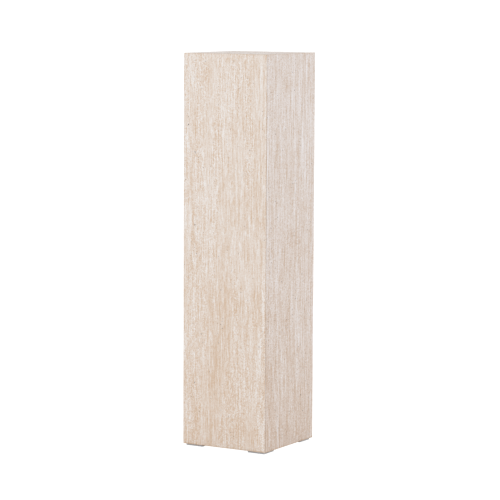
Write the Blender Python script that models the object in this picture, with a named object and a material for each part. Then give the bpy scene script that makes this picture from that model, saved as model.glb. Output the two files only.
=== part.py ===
"""Decorative column: a tall, square pedestal of honed travertine.

Four side slabs and a top slab are mitred and glued into a hollow box, which is open below
and stands on four low pads under its corners.

Metres, +Z up. The origin is the centre of the footprint, on the surface that the pads
stand on. The front face looks along -Y and the right face along +X.
"""

import math

import bmesh
import bpy
from mathutils import Matrix, Vector

# Driving dimensions of the column
COLUMN_WIDTH = 0.250
COLUMN_HEIGHT = 1.030
SLAB_THICKNESS = 0.020

# Eased outer edges: the arrises where two faces meet, and the lower edge over the pads
ARRIS_RADIUS = 0.0015
LOWER_EDGE_RADIUS = 0.0008
EASING_FACETS = 3

# Pads under the corners
PAD_SIDE = 0.050
PAD_THICKNESS = 0.0048
PAD_INSET = 0.006
PAD_CORNER_RADIUS = 0.0015
PAD_CORNER_SEGMENTS = 4

# Glue between two pieces
MITRE_GAP = 0.0003
PAD_GAP = 0.0003

# Colours as linear red, green, blue
FRONT_STONE = (0.73, 0.63, 0.53)
RIGHT_STONE = (0.68, 0.60, 0.52)
TOP_STONE = (0.73, 0.66, 0.60)
PAD_PLASTIC = (0.55, 0.55, 0.56)
HONED_ROUGHNESS = 0.55
PAD_ROUGHNESS = 0.70

HALF_WIDTH = COLUMN_WIDTH / 2
UNDERSIDE = PAD_THICKNESS + PAD_GAP
WELD_DISTANCE = 0.000005

LEFT = Vector((-1, 0, 0))
RIGHT = Vector((1, 0, 0))
FRONT = Vector((0, -1, 0))
BACK = Vector((0, 1, 0))
UP = Vector((0, 0, 1))
DOWN = Vector((0, 0, -1))


def clear_scene():
    """Remove whatever the scene starts with."""
    for scene_object in list(bpy.data.objects):
        bpy.data.objects.remove(scene_object, do_unlink=True)


def blank(low, high):
    """A sawn stone blank: the box between two opposite corners."""
    low, high = Vector(low), Vector(high)
    shape = bmesh.new()
    place = Matrix.Translation((low + high) / 2) @ Matrix.Diagonal((high - low).to_4d())
    bmesh.ops.create_cube(shape, size=1.0, matrix=place)
    return shape


def saw(shape, point, outward):
    """Cut off everything beyond the plane through a point, and close the cut face."""
    bmesh.ops.bisect_plane(
        shape,
        geom=shape.verts[:] + shape.edges[:] + shape.faces[:],
        dist=WELD_DISTANCE,
        plane_co=point,
        plane_no=outward,
        clear_outer=True,
    )
    bmesh.ops.remove_doubles(shape, verts=shape.verts[:], dist=WELD_DISTANCE)
    rim = [edge for edge in shape.edges if edge.is_boundary]
    bmesh.ops.holes_fill(shape, edges=rim)


def mitre(shape, outer_edge, own_face, next_face):
    """Cut the 45 degree joint to the slab behind next_face, short of it by half the glue line."""
    outward = (next_face - own_face).normalized()
    saw(shape, outer_edge - outward * MITRE_GAP / 2, outward)


def ease(shape, outer_edge, own_face, next_face, radius):
    """Round the edge between two faces with facets that touch a circle of this radius."""
    centre = outer_edge - radius * (own_face + next_face)
    quarter = math.pi / 2
    for facet in range(EASING_FACETS):
        angle = quarter * (facet + 0.5) / EASING_FACETS
        outward = math.cos(angle) * own_face + math.sin(angle) * next_face
        saw(shape, centre + radius * outward, outward)


def side_slab():
    """The front slab: mitred to both neighbours and to the top, and cut square below."""
    shape = blank(
        (-HALF_WIDTH, -HALF_WIDTH, UNDERSIDE),
        (HALF_WIDTH, -HALF_WIDTH + SLAB_THICKNESS, COLUMN_HEIGHT),
    )
    outer_face = HALF_WIDTH * FRONT
    for next_face in (LEFT, RIGHT):
        corner = outer_face + HALF_WIDTH * next_face
        mitre(shape, corner, FRONT, next_face)
        ease(shape, corner, FRONT, next_face, ARRIS_RADIUS)
    top_edge = outer_face + COLUMN_HEIGHT * UP
    mitre(shape, top_edge, FRONT, UP)
    ease(shape, top_edge, FRONT, UP, ARRIS_RADIUS)
    lower_edge = outer_face + UNDERSIDE * UP
    ease(shape, lower_edge, FRONT, DOWN, LOWER_EDGE_RADIUS)
    return shape


def top_slab():
    """The square slab that closes the top, mitred to all four side slabs."""
    shape = blank(
        (-HALF_WIDTH, -HALF_WIDTH, COLUMN_HEIGHT - SLAB_THICKNESS),
        (HALF_WIDTH, HALF_WIDTH, COLUMN_HEIGHT),
    )
    for next_face in (FRONT, RIGHT, BACK, LEFT):
        edge = HALF_WIDTH * next_face + COLUMN_HEIGHT * UP
        mitre(shape, edge, UP, next_face)
        ease(shape, edge, UP, next_face, ARRIS_RADIUS)
    return shape


def pad():
    """A low square pad with rounded corners, standing on its own origin."""
    half_side = PAD_SIDE / 2
    shape = blank((-half_side, -half_side, 0.0), (half_side, half_side, PAD_THICKNESS))
    uprights = [
        edge
        for edge in shape.edges
        if abs(edge.verts[0].co.z - edge.verts[1].co.z) > PAD_THICKNESS / 2
    ]
    bmesh.ops.bevel(
        shape,
        geom=uprights,
        offset=PAD_CORNER_RADIUS,
        segments=PAD_CORNER_SEGMENTS,
        profile=0.5,
        affect="EDGES",
    )
    return shape


def add_piece(collection, name, shape, colour, roughness, place):
    """Put one piece in the column's collection, with a material of its own."""
    mesh = bpy.data.meshes.new(name)
    bmesh.ops.recalc_face_normals(shape, faces=shape.faces[:])
    shape.to_mesh(mesh)
    shape.free()
    material = bpy.data.materials.new(name + "_finish")
    material.use_nodes = True
    shader = material.node_tree.nodes["Principled BSDF"]
    shader.inputs["Base Color"].default_value = (*colour, 1.0)
    shader.inputs["Roughness"].default_value = roughness
    shader.inputs["Metallic"].default_value = 0.0
    material.diffuse_color = (*colour, 1.0)
    mesh.materials.append(material)
    piece = bpy.data.objects.new(name, mesh)
    piece.matrix_world = place
    collection.objects.link(piece)


def build_column():
    """Assemble the slabs round the column's axis, and set a pad under each corner."""
    clear_scene()
    column = bpy.data.collections.new("decorative_column")
    bpy.context.scene.collection.children.link(column)

    sides = {
        "front_slab": FRONT_STONE,
        "right_slab": RIGHT_STONE,
        "back_slab": FRONT_STONE,
        "left_slab": RIGHT_STONE,
    }
    for quarter_turns, (name, colour) in enumerate(sides.items()):
        turn = Matrix.Rotation(quarter_turns * math.pi / 2, 4, "Z")
        add_piece(column, name, side_slab(), colour, HONED_ROUGHNESS, turn)
    add_piece(column, "top_slab", top_slab(), TOP_STONE, HONED_ROUGHNESS, Matrix.Identity(4))

    reach = HALF_WIDTH - PAD_INSET - PAD_SIDE / 2
    corners = {
        "front_left_pad": FRONT + LEFT,
        "front_right_pad": FRONT + RIGHT,
        "back_right_pad": BACK + RIGHT,
        "back_left_pad": BACK + LEFT,
    }
    for name, corner in corners.items():
        place = Matrix.Translation(reach * corner)
        add_piece(column, name, pad(), PAD_PLASTIC, PAD_ROUGHNESS, place)


build_column()
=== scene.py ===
import math

import bmesh
import bpy
from mathutils import Matrix, Vector


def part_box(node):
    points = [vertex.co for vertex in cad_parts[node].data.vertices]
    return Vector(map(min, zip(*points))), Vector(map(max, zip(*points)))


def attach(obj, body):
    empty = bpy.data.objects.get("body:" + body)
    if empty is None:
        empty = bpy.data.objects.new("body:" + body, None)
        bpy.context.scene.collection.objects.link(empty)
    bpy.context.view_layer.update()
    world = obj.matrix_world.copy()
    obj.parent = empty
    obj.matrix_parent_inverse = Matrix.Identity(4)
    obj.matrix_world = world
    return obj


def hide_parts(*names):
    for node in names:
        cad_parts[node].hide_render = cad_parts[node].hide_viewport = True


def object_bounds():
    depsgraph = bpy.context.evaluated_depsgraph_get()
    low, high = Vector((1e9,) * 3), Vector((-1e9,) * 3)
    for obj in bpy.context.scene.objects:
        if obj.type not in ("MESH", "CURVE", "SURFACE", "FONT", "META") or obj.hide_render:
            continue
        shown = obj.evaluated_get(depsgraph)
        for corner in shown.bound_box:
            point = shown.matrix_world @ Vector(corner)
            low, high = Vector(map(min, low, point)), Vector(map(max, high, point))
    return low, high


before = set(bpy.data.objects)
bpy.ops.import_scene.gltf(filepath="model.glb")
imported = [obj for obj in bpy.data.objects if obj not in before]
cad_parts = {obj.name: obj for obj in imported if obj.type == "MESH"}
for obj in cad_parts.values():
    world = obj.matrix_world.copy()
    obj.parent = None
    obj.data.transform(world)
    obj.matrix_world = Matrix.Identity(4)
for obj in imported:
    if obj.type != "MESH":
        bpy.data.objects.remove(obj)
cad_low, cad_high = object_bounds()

# The viewpoint
# A long lens, a little higher than the column, looks slightly down on the corner where the
# front and right faces meet. Its place is in metres and its angles in degrees.
VIEW_PLACE = (3.047, -5.130, 1.190)
VIEW_TURN = 30.686
VIEW_DIP = 6.475
VIEW_ROLL = 0.277
LENS_MM = 164.45
SENSOR_MM = 36.0

camera_data = bpy.data.cameras.new("studio_camera")
camera_data.lens = LENS_MM
camera_data.sensor_width = SENSOR_MM
camera_data.sensor_fit = "HORIZONTAL"
camera_data.clip_end = 100.0
camera = bpy.data.objects.new("studio_camera", camera_data)
camera.matrix_world = (
    Matrix.Translation(VIEW_PLACE)
    @ Matrix.Rotation(math.radians(VIEW_TURN), 4, "Z")
    @ Matrix.Rotation(math.radians(90 - VIEW_DIP), 4, "X")
    @ Matrix.Rotation(math.radians(VIEW_ROLL), 4, "Z")
)
bpy.context.scene.collection.objects.link(camera)
bpy.context.scene.camera = camera


# The front slab
# One sawn slab of vein-cut travertine, honed on its outer face. It is mitred to the slabs
# beside and above it, glued to them, and its arrises are then eased by hand.
MM = 0.001
COLUMN_WIDTH = cad_high.x - cad_low.x
COLUMN_TOP = cad_high.z
HALF_WIDTH = COLUMN_WIDTH / 2
SLAB_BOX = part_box("front_slab")
UNDERSIDE = SLAB_BOX[0].z
SLAB_THICKNESS = SLAB_BOX[1].y - SLAB_BOX[0].y

ARRIS_RADIUS = 1.5 * MM
LOWER_EDGE_RADIUS = 0.8 * MM
MITRE_GAP = 0.3 * MM
EASING_FACETS = 7
WELD_DISTANCE = 0.005 * MM

STAIN_REACH = 1.2 * MM
STAIN_TINT = 1.0
RIM_BAND = 4.0 * MM
RIM_TINT = 0.2
# Along the foot of each face the colour is painted darker and warmer: painted shade next to the
# gap above the floor.
FOOT_SHADE_BAND = 5.0 * MM
FOOT_SHADE_TINT = 0.65
# The warm honey colour of the line round the top rims, and also of the painted shade along the
# foot.
HONEY_TONE_AND_FOOT_SHADE = (0.560, 0.376, 0.223)
RESIN_STAIN = (0.262, 0.184, 0.130)
SAWN_DULLNESS = (0.82, 0.80, 0.78)

# The stone runs from tan at 0 to cream at 1. These say how much each of its patterns moves it.
BASE_LIME = 0.55
DRIFT_SHARE = 0.25
BED_SHARE = 0.15
BAND_SHARE = 0.25
LAMINA_SHARE = 0.4
THREAD_SHARE = 0.4
CLOUD_SHARE = 0.7
PLAIN_CLOUD_SHARE = 0.1
CURL_SHARE = 0.3
CLOUDY_FLECK_SHARE = 0.9
LAMINA_SEAM_SHARE = 1.3
THREAD_SEAM_SHARE = 0.9
LEAN_REACH = 11 * MM
WOBBLE_REACH = 3.0 * MM
WARMTH_CURVE = 1.6

STONE_INDEX = 1.5
RELIEF_STRENGTH = 0.12
RELIEF_DEPTH = 0.3 * MM
SAW_MARK_DEPTH = 2.0
HONED_ROUGHNESS = 0.62
CREAM_POLISH = 0.2
SAWN_ROUGHNESS = 0.25

LEFT = Vector((-1, 0, 0))
RIGHT = Vector((1, 0, 0))
FRONT = Vector((0, -1, 0))
BACK = Vector((0, 1, 0))
UP = Vector((0, 0, 1))
DOWN = Vector((0, 0, -1))


def blank(low, high):
    """A sawn stone blank: the box between two opposite corners."""
    low, high = Vector(low), Vector(high)
    shape = bmesh.new()
    place = Matrix.Translation((low + high) / 2) @ Matrix.Diagonal((high - low).to_4d())
    bmesh.ops.create_cube(shape, size=1.0, matrix=place)
    return shape


def saw(shape, point, outward):
    """Cut off everything beyond the plane through a point, and close the cut face."""
    bmesh.ops.bisect_plane(
        shape,
        geom=shape.verts[:] + shape.edges[:] + shape.faces[:],
        dist=WELD_DISTANCE,
        plane_co=point,
        plane_no=outward,
        clear_outer=True,
    )
    bmesh.ops.remove_doubles(shape, verts=shape.verts[:], dist=WELD_DISTANCE)
    rim = [edge for edge in shape.edges if edge.is_boundary]
    bmesh.ops.holes_fill(shape, edges=rim)


def mitre(shape, outer_edge, own_face, next_face):
    """Cut the 45 degree joint to the slab behind next_face, short of it by half the glue line."""
    outward = (next_face - own_face).normalized()
    saw(shape, outer_edge - outward * MITRE_GAP / 2, outward)


def ease(shape, outer_edge, own_face, next_face, radius):
    """Round the edge between two faces with facets that touch a circle of this radius."""
    centre = outer_edge - radius * (own_face + next_face)
    for facet in range(EASING_FACETS):
        angle = math.pi / 2 * (facet + 0.5) / EASING_FACETS
        outward = math.cos(angle) * own_face + math.sin(angle) * next_face
        saw(shape, centre + radius * outward, outward)


def side_slab():
    """The bare front slab: mitred to both neighbours and to the top, cut square below."""
    shape = blank(
        (-HALF_WIDTH, -HALF_WIDTH, UNDERSIDE),
        (HALF_WIDTH, -HALF_WIDTH + SLAB_THICKNESS, COLUMN_TOP),
    )
    outer_face = HALF_WIDTH * FRONT
    for next_face in (LEFT, RIGHT):
        corner = outer_face + HALF_WIDTH * next_face
        mitre(shape, corner, FRONT, next_face)
        ease(shape, corner, FRONT, next_face, ARRIS_RADIUS)
    top_edge = outer_face + COLUMN_TOP * UP
    mitre(shape, top_edge, FRONT, UP)
    ease(shape, top_edge, FRONT, UP, ARRIS_RADIUS)
    ease(shape, outer_face + UNDERSIDE * UP, FRONT, DOWN, LOWER_EDGE_RADIUS)
    return shape


class Wire:
    """One output of a node. Arithmetic on it adds the Math nodes that the sum stands for."""

    def __init__(self, bench, socket):
        self.bench = bench
        self.socket = socket

    def __getitem__(self, name):
        """Another output of the same node."""
        return Wire(self.bench, next(s for s in self.socket.node.outputs if s.name == name))

    def math(self, operation, *terms):
        sockets = dict(enumerate(terms))
        return self.bench.node("ShaderNodeMath", {"operation": operation}, sockets)

    def __add__(self, other):
        return self.math("ADD", self, other)

    def __radd__(self, other):
        return self.math("ADD", other, self)

    def __sub__(self, other):
        return self.math("SUBTRACT", self, other)

    def __rsub__(self, other):
        return self.math("SUBTRACT", other, self)

    def __mul__(self, other):
        return self.math("MULTIPLY", self, other)

    def __rmul__(self, other):
        return self.math("MULTIPLY", other, self)

    def __truediv__(self, other):
        return self.math("DIVIDE", self, other)

    def __rtruediv__(self, other):
        return self.math("DIVIDE", other, self)

    def __pow__(self, other):
        return self.math("POWER", self, other)

    def __abs__(self):
        return self.math("ABSOLUTE", self)

    def __gt__(self, other):
        return self.math("GREATER_THAN", self, other)

    def __lt__(self, other):
        return self.math("LESS_THAN", self, other)

    def greater(self, other):
        """The larger of this value and another."""
        return self.math("MAXIMUM", self, other)

    def line(self, level, reach):
        """1 along the contour of this level, down to 0 at the given difference from it."""
        return 1.0 - abs(self - level).fade(0.0, reach)

    def fade(self, low, high):
        """0 up to low, 1 from high on, and a soft step between them."""
        sockets = {"Value": self, "From Min": low, "From Max": high}
        return self.bench.node("ShaderNodeMapRange", {"interpolation_type": "SMOOTHSTEP"}, sockets)


class Bench:
    """A node tree that is being built, for a finish or for a shape."""

    def __init__(self, tree):
        self.tree = tree

    def node(self, kind, settings=None, sockets=None):
        """Add a node: first its settings, then the values or wires of its sockets."""
        made = self.tree.nodes.new(kind)
        for name, value in (settings or {}).items():
            if name == "stops":
                self.lay_stops(made.color_ramp.elements, value)
            else:
                setattr(made, name, value)
        for name, value in (sockets or {}).items():
            self.plug(made, name, value)
        return Wire(self, next((s for s in made.outputs if s.enabled), None))

    def lay_stops(self, elements, stops):
        """Give a ramp its stops: a place from 0 to 1 and a colour for each."""
        while len(elements) < len(stops):
            elements.new(1.0)
        for element, (place, colour) in zip(elements, stops):
            element.position = place
            element.color = (*colour, 1.0)

    def plug(self, made, name, value):
        """Wire up or set one input, which is found by its place or by its name."""
        if isinstance(name, int):
            socket = made.inputs[name]
        else:
            socket = next(s for s in made.inputs if s.name == name and s.enabled)
        for item in value if isinstance(value, list) else [value]:
            if isinstance(item, Wire):
                self.tree.links.new(item.socket, socket)
            else:
                socket.default_value = item


def linear(red, green, blue):
    """A colour as a photographer reads it, 0 to 255, as the linear values of a shader."""
    return tuple(
        level / 12.92 if level <= 0.04045 else ((level + 0.055) / 1.055) ** 2.4
        for level in (red / 255, green / 255, blue / 255)
    )


def bedded(bench, grain, across_mm, along_mm, through_mm, detail, roughness):
    """Noise that is drawn out along the stone's beds, from 0 to 1 about a mean of 0.5."""
    stretch = (1 / (across_mm * MM), 1 / (through_mm * MM), 1 / (along_mm * MM))
    point = bench.node("ShaderNodeVectorMath", {"operation": "MULTIPLY"}, {0: grain, 1: stretch})
    sockets = {"Vector": point, "Scale": 1.0, "Detail": detail, "Roughness": roughness}
    return bench.node("ShaderNodeTexNoise", {"noise_dimensions": "3D"}, sockets)


def travertine(
    name, turn, shift, tan, middle, cream, breadth, length, cloudiness, veining, mottle, warmth,
    streaks=(),
):
    """Honed travertine whose beds run up its own Z once the grain is turned to this slab."""
    finish = bpy.data.materials.new(name)
    finish.use_nodes = True
    finish.node_tree.nodes.clear()
    bench = Bench(finish.node_tree)

    place = bench.node("ShaderNodeTexCoord")["Object"]
    own = bench.node(
        "ShaderNodeMapping", {"vector_type": "POINT"}, {"Vector": place, "Rotation": turn}
    )
    grain = bench.node("ShaderNodeVectorMath", {"operation": "ADD"}, {0: own, 1: shift})

    # The beds wander: a slow lean over the slab's height and a small wobble.
    lean = bedded(bench, grain, 60, 260, 300, 1.0, 0.5)
    wobble = bedded(bench, grain, 12, 24, 80, 2.0, 0.5)
    wander = (lean - 0.5) * LEAN_REACH + (wobble - 0.5) * WOBBLE_REACH
    sideways = bench.node("ShaderNodeCombineXYZ", None, {"X": wander})
    grain = bench.node("ShaderNodeVectorMath", {"operation": "ADD"}, {0: grain, 1: sideways})

    # Each pattern has its own size across the beds, along them and into the slab, in mm.
    drift = bedded(bench, grain, 80, 260, 300, 1.0, 0.5)
    beds = bedded(bench, grain, 24, 600, 400, 2.0, 0.55)
    bands = bedded(bench, grain, 6 * breadth, 130 * length, 200, 3.0, 0.6)
    laminae = bedded(bench, grain, 2.5 * breadth, 90 * length, 60, 3.0, 0.6)
    threads = bedded(bench, grain, 1.6 * breadth, 16 * length, 20, 2.0, 0.55)
    veins = bedded(bench, grain, 9 * breadth, 150 * length, 90, 2.0, 0.5).line(0.5, 0.05)
    clouds = bedded(bench, grain, 3.2, 4.5, 6, 3.0, 0.65)
    curls = bedded(bench, grain, 4.5, 8, 7, 1.0, 0.5).line(0.5, 0.06)
    flecks = bedded(bench, grain, 1.8 * breadth, 2.4, 2, 2.0, 0.55)
    cloudy = bedded(bench, grain, 38, 420, 300, 1.0, 0.5).fade(0.42, 0.62) * cloudiness

    # Where the beds are thinnest they show as fine darker seams.
    lamina_seams = (0.42 - laminae).greater(0.0) * LAMINA_SEAM_SHARE
    seams = lamina_seams + (0.40 - threads).greater(0.0) * THREAD_SEAM_SHARE

    # The colour grows darker and warmer towards the column's foot.
    apart = bench.node("ShaderNodeSeparateXYZ", None, {"Vector": place})
    depth_below = (1.0 - apart["Z"] / COLUMN_TOP).greater(0.0)
    lime = (
        BASE_LIME
        - warmth * depth_below**WARMTH_CURVE
        - seams
        + (drift - 0.5) * DRIFT_SHARE
        + (beds - 0.5) * BED_SHARE
        + (bands - 0.5) * BAND_SHARE
        + (laminae.fade(0.3, 0.7) - 0.5) * LAMINA_SHARE
        + (threads.fade(0.25, 0.75) - 0.5) * THREAD_SHARE
        + (veins - 0.2) * veining
        + (clouds - 0.5) * (cloudy * CLOUD_SHARE + PLAIN_CLOUD_SHARE)
        + (curls - 0.3) * (cloudy * CURL_SHARE)
        + (flecks - 0.5) * (cloudy * CLOUDY_FLECK_SHARE + mottle)
    )

    # The most marked streaks and patches lie where this slab of stone has them.
    own_place = bench.node("ShaderNodeSeparateXYZ", None, {"Vector": own})
    streaky = 0.4 + laminae * 1.2
    for x, z, half_width, half_height, lightening in streaks:
        across = (own_place["X"] + wander - x * MM) * (1 / (half_width * MM))
        along = (own_place["Z"] - z * MM) * (1 / (half_height * MM))
        spot = (1.0 - across * across - along * along).fade(0.0, 1.0)
        lime = lime + spot * streaky * lightening
    stops = [(0.0, tan), (0.5, middle), (1.0, cream)]
    honed = bench.node("ShaderNodeValToRGB", {"stops": stops}, {"Fac": lime})

    # Where a point lies is told by its distance from the column's axis and from its ends.
    out_from_axis = abs(apart["X"]).greater(abs(apart["Y"]))
    from_corner = COLUMN_WIDTH - abs(apart["X"]) - abs(apart["Y"])
    from_rim = HALF_WIDTH + COLUMN_TOP - out_from_axis - apart["Z"]
    from_foot = HALF_WIDTH - UNDERSIDE - out_from_axis + apart["Z"]
    joint = (1.0 - from_corner.fade(0.0, STAIN_REACH)) * (STAIN_TINT * (0.5 + bands))
    rim = (1.0 - from_rim.fade(0.0, RIM_BAND)) * RIM_TINT
    # Painted shade: a darker, warmer band along the foot of each face, next to the gap above the
    # floor.
    foot_shade = (1.0 - from_foot.fade(0.0, FOOT_SHADE_BAND)) * FOOT_SHADE_TINT
    inside = out_from_axis.greater(apart["Z"] - (COLUMN_TOP - HALF_WIDTH))
    inner_face = HALF_WIDTH - SLAB_THICKNESS
    sawn = 1.0 - inside.fade(inner_face + 0.1 * MM, inner_face + SLAB_THICKNESS / 2)
    # The rims get a warm honey line, and the foot gets its painted shade.
    rim_line_and_foot_shade = bench.node(
        "ShaderNodeMix",
        {"data_type": "RGBA"},
        {"Factor": rim.greater(foot_shade), "A": honed, "B": (*HONEY_TONE_AND_FOOT_SHADE, 1.0)},
    )
    eased = bench.node(
        "ShaderNodeMix",
        {"data_type": "RGBA"},
        {"Factor": joint, "A": rim_line_and_foot_shade, "B": (*RESIN_STAIN, 1.0)},
    )
    colour = bench.node(
        "ShaderNodeMix",
        {"data_type": "RGBA", "blend_type": "MULTIPLY"},
        {"Factor": sawn, "A": eased, "B": (*SAWN_DULLNESS, 1.0)},
    )

    saw_marks = bedded(bench, place, 400, 1.2, 400, 3.0, 0.7)
    relief = lime * 0.6 + threads * 0.4 + saw_marks * sawn * SAW_MARK_DEPTH
    bump = bench.node(
        "ShaderNodeBump",
        None,
        {"Height": relief, "Strength": RELIEF_STRENGTH, "Distance": RELIEF_DEPTH},
    )
    sheen = HONED_ROUGHNESS - (lime - 0.5) * CREAM_POLISH + sawn * SAWN_ROUGHNESS
    shader = bench.node(
        "ShaderNodeBsdfPrincipled",
        None,
        {"Base Color": colour, "Roughness": sheen, "Normal": bump, "IOR": STONE_INDEX},
    )
    bench.node("ShaderNodeOutputMaterial", None, {"Surface": shader})
    return finish


def pore_dust_and_painted_shade():
    """Inside the open pores: unpolished stone greyed by dust, painted darker for the shade deep in
    them.
    """
    finish = bpy.data.materials.new("pore_dust_and_painted_shade")
    finish.use_nodes = True
    finish.node_tree.nodes.clear()
    bench = Bench(finish.node_tree)
    place = bench.node("ShaderNodeTexCoord")["Object"]
    dust = bench.node("ShaderNodeTexNoise", None, {"Vector": place, "Scale": 900.0, "Detail": 2.0})
    # Dark greys: the dust, and painted shade for the depth of the pores.
    stops = [(0.3, linear(74, 70, 73)), (0.7, linear(122, 110, 102))]
    colour = bench.node("ShaderNodeValToRGB", {"stops": stops}, {"Fac": dust})
    shader = bench.node(
        "ShaderNodeBsdfPrincipled", None, {"Base Color": colour, "Roughness": 0.9}
    )
    bench.node("ShaderNodeOutputMaterial", None, {"Surface": shader})
    return finish


# Pores and pits are uneven hollows, most of them small. A face counts as flat where it looks
# straight outward, and as arris where it looks at least half outward.
PORE_SIZE_CURVE = 3.0
SMALLEST_PORE = 0.35
SMALLEST_PIT = 0.6
TRIES_PER_SPACING = 4.0
FLAT_FROM = 0.9999
ARRIS_FROM = 0.5
NICK_LEVEL = 0.5
GRIT_PER_METRE = 700.0
GRIT_DEPTH = 1.1 * MM
PORE_TREE_INPUTS = (
    ("Slab", "NodeSocketGeometry"),
    ("Outward", "NodeSocketVector"),
    ("Bed Size", "NodeSocketVector"),
    ("Pore Reach", "NodeSocketVector"),
    ("Pore Spacing", "NodeSocketFloat"),
    ("Pore Level", "NodeSocketFloat"),
    ("Pit Places", "NodeSocketObject"),
    ("Pit Reach", "NodeSocketVector"),
    ("Nick Reach", "NodeSocketFloat"),
    ("Nick Spacing", "NodeSocketFloat"),
    ("Seed", "NodeSocketInt"),
    ("Stone", "NodeSocketMaterial"),
    ("Lining", "NodeSocketMaterial"),
)


def pore_tree():
    """A node tree that opens pores in a slab's honed face and nicks its arrises."""
    tree = bpy.data.node_groups.new("open_pores", "GeometryNodeTree")
    for name, kind in PORE_TREE_INPUTS:
        tree.interface.new_socket(name, in_out="INPUT", socket_type=kind)
    tree.interface.new_socket("Slab", in_out="OUTPUT", socket_type="NodeSocketGeometry")
    bench = Bench(tree)
    given = bench.node("NodeGroupInput")

    normal = bench.node("GeometryNodeInputNormal")
    facing = bench.node(
        "ShaderNodeVectorMath", {"operation": "DOT_PRODUCT"}, {0: normal, 1: given["Outward"]}
    )["Value"]
    position = bench.node("GeometryNodeInputPosition")
    blob = bench.node("GeometryNodeMeshIcoSphere", None, {"Radius": 1.0, "Subdivisions": 2})

    def plant(points, keep, reach, smallest, seed):
        """Blobs of unlike size at some points."""
        draw = bench.node(
            "FunctionNodeRandomValue",
            {"data_type": "FLOAT"},
            {"Min": 0.0, "Max": 1.0, "Seed": seed + 1},
        )
        size = smallest + (1.0 - smallest) * draw**PORE_SIZE_CURVE
        scale = bench.node(
            "ShaderNodeVectorMath", {"operation": "SCALE"}, {0: reach, "Scale": size}
        )
        return bench.node(
            "GeometryNodeInstanceOnPoints",
            None,
            {"Points": points, "Selection": keep, "Instance": blob, "Scale": scale},
        )

    def scatter(where, spacing, keep, reach, seed):
        """Blobs on the chosen faces, no nearer to each other than the spacing."""
        density = TRIES_PER_SPACING / (spacing * spacing)
        points = bench.node(
            "GeometryNodeDistributePointsOnFaces",
            {"distribute_method": "POISSON"},
            {
                "Mesh": given["Slab"],
                "Selection": where,
                "Distance Min": spacing,
                "Density Max": density,
                "Seed": seed,
            },
        )
        return plant(points, keep, reach, SMALLEST_PORE, seed)

    bed_point = bench.node(
        "ShaderNodeVectorMath", {"operation": "DIVIDE"}, {0: position, 1: given["Bed Size"]}
    )
    bed = bench.node(
        "ShaderNodeTexNoise",
        {"noise_dimensions": "4D"},
        {"Vector": bed_point, "W": given["Seed"], "Scale": 1.0, "Detail": 2.0},
    )
    porous = bed > given["Pore Level"]
    pores = scatter(
        facing > FLAT_FROM, given["Pore Spacing"], porous, given["Pore Reach"], given["Seed"]
    )
    places = bench.node(
        "GeometryNodeObjectInfo", {"transform_space": "ORIGINAL"}, {"Object": given["Pit Places"]}
    )["Geometry"]
    pits = plant(places, True, given["Pit Reach"], SMALLEST_PIT, given["Seed"] + 3)
    on_arris = (facing > ARRIS_FROM) * (facing < FLAT_FROM)
    nick_reach = bench.node(
        "ShaderNodeVectorMath",
        {"operation": "SCALE"},
        {0: (1.0, 1.0, 1.0), "Scale": given["Nick Reach"]},
    )
    nicked = bed > NICK_LEVEL
    nicks = scatter(on_arris, given["Nick Spacing"], nicked, nick_reach, given["Seed"] + 7)

    def roughen(blobs, material):
        """Turn blobs into solid cutters with an uneven outline."""
        solid = bench.node("GeometryNodeRealizeInstances", None, {"Geometry": blobs})
        grit = bench.node(
            "ShaderNodeTexNoise",
            None,
            {"Vector": position, "Scale": GRIT_PER_METRE, "Detail": 2.0},
        )["Color"]
        centred = bench.node(
            "ShaderNodeVectorMath", {"operation": "SUBTRACT"}, {0: grit, 1: (0.5, 0.5, 0.5)}
        )
        offset = bench.node(
            "ShaderNodeVectorMath", {"operation": "SCALE"}, {0: centred, "Scale": GRIT_DEPTH}
        )
        uneven = bench.node("GeometryNodeSetPosition", None, {"Geometry": solid, "Offset": offset})
        return bench.node(
            "GeometryNodeSetMaterial", None, {"Geometry": uneven, "Material": material}
        )

    slab = bench.node(
        "GeometryNodeSetMaterial", None, {"Geometry": given["Slab"], "Material": given["Stone"]}
    )
    cut = bench.node(
        "GeometryNodeMeshBoolean",
        {"operation": "DIFFERENCE", "solver": "EXACT"},
        {
            "Mesh 1": slab,
            "Mesh 2": [
                roughen(pores, given["Lining"]),
                roughen(pits, given["Lining"]),
                roughen(nicks, given["Stone"]),
            ],
        },
    )
    whole = bench.node("GeometryNodeRealizeInstances", None, {"Geometry": cut})
    lined = bench.node("GeometryNodeMaterialSelection", None, {"Material": given["Lining"]})
    dressed = bench.node(
        "GeometryNodeSetMaterial",
        None,
        {"Geometry": whole, "Selection": 1.0 - lined, "Material": given["Stone"]},
    )
    bench.node("NodeGroupOutput", None, {"Slab": dressed})
    return tree


CREASE = math.radians(40)
LARGE_FACE = 360 * MM * MM
SAME_PLANE = 1e-4


def shade(mesh):
    """Smooth the eased arrises and the pores, and keep every flat face flat."""
    shape = bmesh.new()
    shape.from_mesh(mesh)
    for face in shape.faces:
        face.smooth = True
    for edge in shape.edges:
        angle = edge.calc_face_angle(math.pi)
        wide = max((face.calc_area() for face in edge.link_faces), default=0.0)
        edge.smooth = angle < CREASE and not (wide > LARGE_FACE and angle > SAME_PLANE)
    shape.to_mesh(mesh)
    shape.free()


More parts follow.
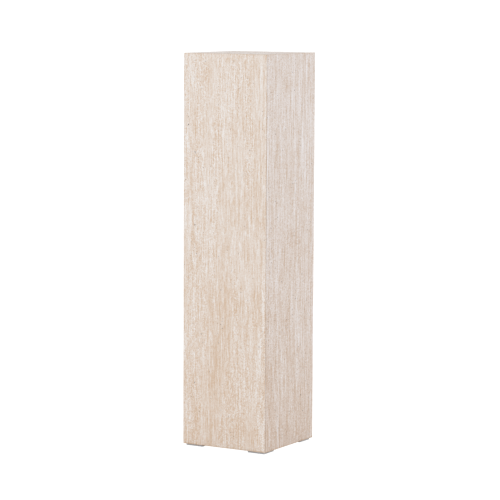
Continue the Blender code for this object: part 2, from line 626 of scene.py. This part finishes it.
def finish_slab(name, shape, outward, reach, bed_size, turn, stone, seed, pits=()):
    """Open the pores of a bare slab, turn it into its place and hand it to the frame."""
    places = bpy.data.meshes.new(name + "_pits")
    places.from_pydata([(x * MM, -HALF_WIDTH, z * MM) for x, z in pits], [], [])
    marker = bpy.data.objects.new(name + "_pits", places)
    mesh = bpy.data.meshes.new(name)
    bmesh.ops.recalc_face_normals(shape, faces=shape.faces[:])
    shape.to_mesh(mesh)
    shape.free()
    bare = bpy.data.objects.new(name + "_bare", mesh)
    bpy.context.scene.collection.objects.link(bare)
    opener = bare.modifiers.new("open_pores", "NODES")
    opener.node_group = PORES
    values = {
        "Outward": outward,
        "Bed Size": bed_size,
        "Pore Reach": reach,
        "Pore Spacing": PORE_SPACING,
        "Pore Level": PORE_LEVEL,
        "Pit Places": marker,
        "Pit Reach": PIT_REACH,
        "Nick Reach": NICK_REACH,
        "Nick Spacing": NICK_SPACING,
        "Seed": seed,
        "Stone": stone,
        "Lining": PORE_DUST_AND_SHADE,
    }
    for item in PORES.interface.items_tree:
        if item.in_out == "INPUT" and item.name in values:
            opener[item.identifier] = values[item.name]
    evaluated = bare.evaluated_get(bpy.context.evaluated_depsgraph_get())
    final = bpy.data.meshes.new_from_object(evaluated)
    final.name = name
    final.transform(turn)
    shade(final)
    bpy.data.objects.remove(bare, do_unlink=True)
    bpy.data.objects.remove(marker, do_unlink=True)
    piece = bpy.data.objects.new(name, final)
    bpy.context.scene.collection.objects.link(piece)
    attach(piece, "root")
    return piece


PORES = pore_tree()
PORE_DUST_AND_SHADE = pore_dust_and_painted_shade()

PORE_SPACING = 8 * MM
PORE_LEVEL = 0.56
NICK_REACH = 0.9 * MM
NICK_SPACING = 24 * MM
SIDE_PORE_REACH = (0.6 * MM, 0.9 * MM, 1.5 * MM)
PIT_REACH = (1.3 * MM, 1.4 * MM, 2.0 * MM)
SIDE_BED_SIZE = (9 * MM, 30 * MM, 120 * MM)

# Pits as (x, z), and streaks as (x, z, half width, half height, lightening), in mm on the slab
FRONT_PITS = (
    (-90, 775), (-88, 772), (-80, 760), (-65, 735), (-110, 845), (50, 970), (-70, 940),
    (75, 785), (-50, 690), (-90, 585), (-85, 510), (-10, 420), (-10, 330), (-5, 320),
    (105, 280), (-70, 300), (-90, 170), (-75, 95),
)
FRONT_STREAKS = (
    (-45, 985, 55, 40, -0.06),
    (-65, 945, 5, 65, 0.13),
    (-5, 890, 9, 30, 0.12),
    (-5, 785, 4, 90, 0.18),
    (40, 910, 10, 65, -0.12),
    (105, 950, 4, 80, 0.10),
    (-108, 840, 15, 60, 0.10),
    (-118, 710, 6, 35, 0.15),
    (-50, 655, 45, 70, 0.08),
    (-108, 570, 15, 80, 0.12),
    (90, 840, 35, 60, -0.07),
    (90, 640, 40, 110, -0.10),
    (50, 550, 35, 45, -0.05),
    (-30, 585, 4, 25, 0.15),
    (70, 450, 8, 45, 0.19),
    (117, 370, 6, 190, 0.26),
    (5, 415, 25, 100, -0.09),
    (-90, 395, 6, 65, 0.13),
    (-50, 375, 45, 80, -0.08),
    (104, 260, 11, 80, 0.28),
    (-28, 230, 22, 100, -0.12),
    (-77, 200, 5, 130, 0.10),
    (-55, 180, 35, 60, -0.05),
    (-108, 75, 18, 90, 0.17),
    (30, 60, 18, 50, -0.08),
    (70, 50, 60, 40, -0.05),
    (124, 700, 2, 380, -0.2),
)
FRONT_STONE = travertine(
    "front_travertine",
    turn=(0.0, 0.0, 0.0),
    shift=(0.0, 0.0, 0.0),
    tan=linear(208, 178, 149),
    middle=linear(224, 210, 198),
    cream=linear(238, 235, 233),
    breadth=1.0,
    length=1.25,
    cloudiness=1.0,
    veining=0.22,
    mottle=1.15,
    warmth=0.16,
    streaks=FRONT_STREAKS,
)
FRONT_SEED = 3
front = finish_slab(
    "front_slab_stone", side_slab(), FRONT, SIDE_PORE_REACH, SIDE_BED_SIZE,
    Matrix.Identity(4), FRONT_STONE, FRONT_SEED, FRONT_PITS,
)
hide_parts("front_slab")


# The right, back and left slabs
# Three more slabs cut to the same size as the front one, each from another part of the
# block, so that the veins change at every corner. The right one is cooler and straighter.
QUARTER = math.pi / 2
RIGHT_STREAKS = (
    (80, 990, 6, 40, 0.21),
    (55, 965, 12, 35, 0.12),
    (45, 880, 6, 75, 0.13),
    (62, 890, 5, 80, 0.12),
    (-118, 800, 5, 125, 0.24),
    (-107, 780, 3, 110, 0.18),
    (-94, 800, 4, 120, 0.20),
    (103, 850, 6, 70, 0.13),
    (-117, 585, 5, 125, 0.25),
    (-106, 585, 3, 120, 0.20),
    (43, 610, 6, 25, 0.18),
    (-50, 560, 30, 60, -0.07),
    (100, 530, 30, 80, -0.07),
    (0, 485, 20, 60, 0.06),
    (50, 300, 10, 55, 0.15),
    (42, 190, 10, 70, 0.13),
    (75, 220, 5, 130, 0.15),
    (0, 235, 25, 70, -0.08),
    (-105, 150, 25, 120, -0.10),
    (105, 130, 6, 85, -0.15),
    (40, 60, 6, 55, -0.15),
    (-95, 300, 8, 50, 0.12),
    (-113, 50, 4, 60, -0.20),
    (-104, 55, 4, 50, 0.18),
    (-95, 45, 4, 60, -0.22),
    (-84, 60, 4, 50, 0.18),
    (-75, 40, 4, 60, -0.20),
    (-62, 55, 4, 60, 0.15),
    (-50, 45, 5, 50, -0.15),
    (-124, 700, 2, 380, -0.35),
)
SIDES = {
    "right": {
        "tan": linear(202, 174, 150),
        "middle": linear(223, 210, 201),
        "cream": linear(239, 235, 236),
        "breadth": 1.35,
        "length": 2.4,
        "cloudiness": 0.3,
        "veining": 0.2,
        "mottle": 1.6,
        "warmth": 0.2,
        "streaks": RIGHT_STREAKS,
    },
    "back": {
        "tan": linear(210, 186, 163),
        "middle": linear(223, 209, 197),
        "cream": linear(238, 234, 231),
        "breadth": 1.2,
        "length": 1.5,
        "cloudiness": 0.6,
        "veining": 0.2,
        "mottle": 1.0,
        "warmth": 0.17,
    },
    "left": {
        "tan": linear(208, 185, 163),
        "middle": linear(222, 209, 197),
        "cream": linear(236, 232, 229),
        "breadth": 1.4,
        "length": 2.0,
        "cloudiness": 0.5,
        "veining": 0.2,
        "mottle": 1.2,
        "warmth": 0.17,
    },
}
SEEDS = {"right": 11, "back": 23, "left": 37}
PORES_OF = {
    "right": (1.1 * MM, 0.9 * MM, 1.7 * MM),
    "back": SIDE_PORE_REACH,
    "left": SIDE_PORE_REACH,
}
PITS = {
    "right": (
        (-65, 845), (105, 765), (105, 660), (25, 415), (100, 370), (75, 355), (-80, 345),
        (-75, 190), (60, 130), (0, 95), (-60, 600), (15, 935),
    ),
    "back": ((-70, 310), (20, 655), (95, 870), (-30, 905), (60, 120)),
    "left": ((50, 230), (-90, 540), (10, 760), (-35, 940), (105, 470)),
}
for quarter_turns, (side, character) in enumerate(SIDES.items(), 1):
    seed = SEEDS[side]
    stone = travertine(
        side + "_travertine",
        turn=(0.0, 0.0, -quarter_turns * QUARTER),
        shift=(seed * 0.37, 0.0, seed * 0.53),
        **character,
    )
    piece = finish_slab(
        side + "_slab_stone", side_slab(), FRONT, PORES_OF[side], SIDE_BED_SIZE,
        Matrix.Rotation(quarter_turns * QUARTER, 4, "Z"), stone, seed, PITS[side],
    )
    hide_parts(side + "_slab")


# The top slab
# A square slab that lies in the mitred edge of the four sides. It carries what is shown on
# the column, so it is honed flat, and its veins run from front to back.
def top_slab():
    """The bare top slab, mitred to all four side slabs."""
    shape = blank(
        (-HALF_WIDTH, -HALF_WIDTH, COLUMN_TOP - SLAB_THICKNESS),
        (HALF_WIDTH, HALF_WIDTH, COLUMN_TOP),
    )
    for next_face in (FRONT, RIGHT, BACK, LEFT):
        edge = HALF_WIDTH * next_face + COLUMN_TOP * UP
        mitre(shape, edge, UP, next_face)
        ease(shape, edge, UP, next_face, ARRIS_RADIUS)
    return shape


TOP_PORE_REACH = (0.4 * MM, 0.9 * MM, 0.8 * MM)
TOP_BED_SIZE = (9 * MM, 120 * MM, 30 * MM)
TOP_SEED = 51
# The top's colours are darker than the side slabs': painted shade that evens out the stronger
# light falling on the top.
TOP_STONE = travertine(
    "top_travertine",
    turn=(QUARTER, 0.0, 0.0),
    shift=(2.1, 0.0, 1.3),
    tan=linear(196, 179, 166),
    middle=linear(209, 198, 191),
    cream=linear(223, 218, 214),
    breadth=1.0,
    length=1.0,
    cloudiness=0.5,
    veining=0.2,
    mottle=0.8,
    warmth=0.0,
)
top = finish_slab(
    "top_slab_stone", top_slab(), UP, TOP_PORE_REACH, TOP_BED_SIZE,
    Matrix.Identity(4), TOP_STONE, TOP_SEED,
)
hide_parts("top_slab")


# The joint resin
# Resin holds the mitred joints together, one thin sheet in each. It was wiped back while it
# was wet, and shows as a fine line: dark brown up the corners, and stone-coloured round the
# top, where it was tinted to be less seen.
RESIN_CLEARANCE = 0.01 * MM
RESIN_RECESS = 0.1 * MM


def joint_resin(name, dark, light):
    """Half dull resin, a little uneven from the stone dust that it took up."""
    finish = bpy.data.materials.new(name)
    finish.use_nodes = True
    finish.node_tree.nodes.clear()
    bench = Bench(finish.node_tree)
    place = bench.node("ShaderNodeTexCoord")["Object"]
    dust = bench.node("ShaderNodeTexNoise", None, {"Vector": place, "Scale": 150.0, "Detail": 4.0})
    stops = [(0.35, dark), (0.75, light)]
    colour = bench.node("ShaderNodeValToRGB", {"stops": stops}, {"Fac": dust})
    shader = bench.node(
        "ShaderNodeBsdfPrincipled", None, {"Base Color": colour, "Roughness": 0.45 + dust * 0.3}
    )
    bench.node("ShaderNodeOutputMaterial", None, {"Surface": shader})
    return finish


def resin_sheet(outer_edge, own_face, next_face, ends):
    """A sheet that fills one mitred joint, trimmed by planes where its ends are."""
    shape = blank(
        (-HALF_WIDTH, -HALF_WIDTH, UNDERSIDE), (HALF_WIDTH, HALF_WIDTH, COLUMN_TOP)
    )
    across = (next_face - own_face).normalized()
    outward = (next_face + own_face).normalized()
    half_sheet = MITRE_GAP / 2 - RESIN_CLEARANCE
    saw(shape, outer_edge + across * half_sheet, across)
    saw(shape, outer_edge - across * half_sheet, -across)
    arris_depth = (math.sqrt(2) - 1) * ARRIS_RADIUS
    saw(shape, outer_edge - outward * (arris_depth + RESIN_RECESS), outward)
    saw(shape, outer_edge - outward * (math.sqrt(2) * SLAB_THICKNESS - RESIN_RECESS), -outward)
    for point, normal in ends:
        saw(shape, point, normal)
    return shape


CORNER_RESIN = joint_resin("corner_resin", linear(66, 50, 38), linear(104, 82, 64))
TOP_RESIN = joint_resin("top_resin", linear(186, 154, 124), linear(208, 180, 152))
FACES = {"front": FRONT, "right": RIGHT, "back": BACK, "left": LEFT}
sheets = {}
for first, second in (("front", "right"), ("back", "right"), ("back", "left"), ("front", "left")):
    corner = HALF_WIDTH * (FACES[first] + FACES[second])
    ends = [((UNDERSIDE + RESIN_RECESS) * UP, DOWN)]
    for face in (FACES[first], FACES[second]):
        beside_top = (UP - face).normalized()
        top_edge = HALF_WIDTH * face + COLUMN_TOP * UP
        ends.append((top_edge - beside_top * MITRE_GAP / 2, beside_top))
    sheets[first + "_" + second] = resin_sheet(corner, FACES[first], FACES[second], ends)
for side, face in FACES.items():
    edge = HALF_WIDTH * face + COLUMN_TOP * UP
    ends = []
    for other in FACES.values():
        if abs(face.dot(other)) < 0.5:
            beside = (other - face).normalized()
            ends.append((HALF_WIDTH * (face + other) - beside * RESIN_CLEARANCE, beside))
    sheets[side + "_top"] = resin_sheet(edge, face, UP, ends)
for joint, shape in sheets.items():
    mesh = bpy.data.meshes.new(joint + "_joint_resin")
    bmesh.ops.recalc_face_normals(shape, faces=shape.faces[:])
    shape.to_mesh(mesh)
    shape.free()
    mesh.materials.append(TOP_RESIN if "top" in joint else CORNER_RESIN)
    piece = bpy.data.objects.new(joint + "_joint_resin", mesh)
    bpy.context.scene.collection.objects.link(piece)
    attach(piece, "root")


# The corner pads
# Four low pads of light grey moulded plastic, stuck under the corners of the box so that it
# stands level and doesn't scratch the floor. Their corners and rims are rounded.
PADS = ("front_left_pad", "front_right_pad", "back_right_pad", "back_left_pad")
PAD_CORNER_RADIUS = 1.5 * MM
PAD_CORNER_SEGMENTS = 6
PAD_RIM_RADIUS = 0.5 * MM
PAD_RIM_SEGMENTS = 3
PAD_CREASE = math.radians(40)


def pad_plastic():
    """Light grey plastic with the fine grain of its mould."""
    finish = bpy.data.materials.new("moulded_pad_plastic")
    finish.use_nodes = True
    finish.node_tree.nodes.clear()
    bench = Bench(finish.node_tree)
    place = bench.node("ShaderNodeTexCoord")["Object"]
    grain = bench.node("ShaderNodeTexNoise", None, {"Vector": place, "Scale": 2500.0})
    scuff = bench.node("ShaderNodeTexNoise", None, {"Vector": place, "Scale": 120.0})
    stops = [(0.3, linear(190, 190, 193)), (0.7, linear(206, 206, 209))]
    colour = bench.node("ShaderNodeValToRGB", {"stops": stops}, {"Fac": scuff})
    bump = bench.node(
        "ShaderNodeBump", None, {"Height": grain, "Strength": 0.4, "Distance": 0.05 * MM}
    )
    shader = bench.node(
        "ShaderNodeBsdfPrincipled",
        None,
        {"Base Color": colour, "Roughness": 0.55 + scuff * 0.2, "Normal": bump},
    )
    bench.node("ShaderNodeOutputMaterial", None, {"Surface": shader})
    return finish


def moulded_pad(low, high):
    """A pad with rounded corners and softened rims, inside the box that it replaces."""
    shape = blank(low, high)
    uprights = [e for e in shape.edges if abs(e.verts[0].co.z - e.verts[1].co.z) > PAD_RIM_RADIUS]
    bmesh.ops.bevel(
        shape,
        geom=uprights,
        offset=PAD_CORNER_RADIUS,
        segments=PAD_CORNER_SEGMENTS,
        profile=0.5,
        affect="EDGES",
    )
    rims = [
        edge
        for edge in shape.edges
        if abs(edge.calc_face_angle() - math.pi / 2) < 0.1
        and abs(edge.verts[0].co.z - edge.verts[1].co.z) < WELD_DISTANCE
    ]
    bmesh.ops.bevel(
        shape,
        geom=rims,
        offset=PAD_RIM_RADIUS,
        segments=PAD_RIM_SEGMENTS,
        profile=0.5,
        affect="EDGES",
    )
    return shape


PAD_FINISH = pad_plastic()
for node in PADS:
    mesh = bpy.data.meshes.new(node + "_moulded")
    shape = moulded_pad(*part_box(node))
    bmesh.ops.recalc_face_normals(shape, faces=shape.faces[:])
    shape.to_mesh(mesh)
    shape.free()
    mesh.materials.append(PAD_FINISH)
    mesh.shade_smooth()
    mesh.set_sharp_from_angle(angle=PAD_CREASE)
    piece = bpy.data.objects.new(node + "_moulded", mesh)
    bpy.context.scene.collection.objects.link(piece)
    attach(piece, "root")
    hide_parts(node)


# The studio
# A plain white floor in a white surround, both seen as bare white. One large soft light at
# the upper left makes the front face a little brighter than the right one.
FLOOR_SIZE = 60.0
FLOOR_DROP = 0.1 * MM
FLOOR_WHITE = (0.9, 0.9, 0.9, 1.0)
BARE_WHITE = (1.0, 1.0, 1.0, 1.0)
SEEN_STRENGTH = 1.1
KEY_SIZE = 2.4
KEY_PLACE = Vector((-1.6, -3.4, 2.8))
KEY_AIM = Vector((0.0, 0.0, 0.7))
KEY_WATTS = 12.5

floor_mesh = bpy.data.meshes.new("studio_floor")
floor_shape = bmesh.new()
floor_level = Matrix.Translation(FLOOR_DROP * DOWN)
bmesh.ops.create_grid(
    floor_shape, x_segments=1, y_segments=1, size=FLOOR_SIZE / 2, matrix=floor_level
)
floor_shape.to_mesh(floor_mesh)
floor_shape.free()
floor = bpy.data.objects.new("studio_floor", floor_mesh)
bpy.context.scene.collection.objects.link(floor)

paint = bpy.data.materials.new("white_floor_paint")
paint.use_nodes = True
paint.node_tree.nodes.clear()
bench = Bench(paint.node_tree)
seen = bench.node("ShaderNodeLightPath")["Is Camera Ray"]
matt = bench.node("ShaderNodeBsdfDiffuse", None, {"Color": FLOOR_WHITE})
bright = bench.node("ShaderNodeEmission", None, {"Color": BARE_WHITE, "Strength": SEEN_STRENGTH})
surface = bench.node("ShaderNodeMixShader", None, {0: seen, 1: matt, 2: bright})
bench.node("ShaderNodeOutputMaterial", None, {"Surface": surface})
floor_mesh.materials.append(paint)

world = bpy.data.worlds.new("studio_surround")
world.use_nodes = True
world.node_tree.nodes.clear()
bench = Bench(world.node_tree)
seen = bench.node("ShaderNodeLightPath")["Is Camera Ray"]
strength = 1.0 + seen * (SEEN_STRENGTH - 1.0)
surround = bench.node("ShaderNodeBackground", None, {"Color": BARE_WHITE, "Strength": strength})
bench.node("ShaderNodeOutputWorld", None, {"Surface": surround})
bpy.context.scene.world = world

key_data = bpy.data.lights.new("soft_key", "AREA")
key_data.shape = "SQUARE"
key_data.size = KEY_SIZE
key_data.energy = KEY_WATTS
key = bpy.data.objects.new("soft_key", key_data)
key_turn = (KEY_AIM - KEY_PLACE).to_track_quat("-Z", "Y").to_matrix().to_4x4()
key.matrix_world = Matrix.Translation(KEY_PLACE) @ key_turn
bpy.context.scene.collection.objects.link(key)

bpy.context.scene.view_settings.view_transform = "Standard"
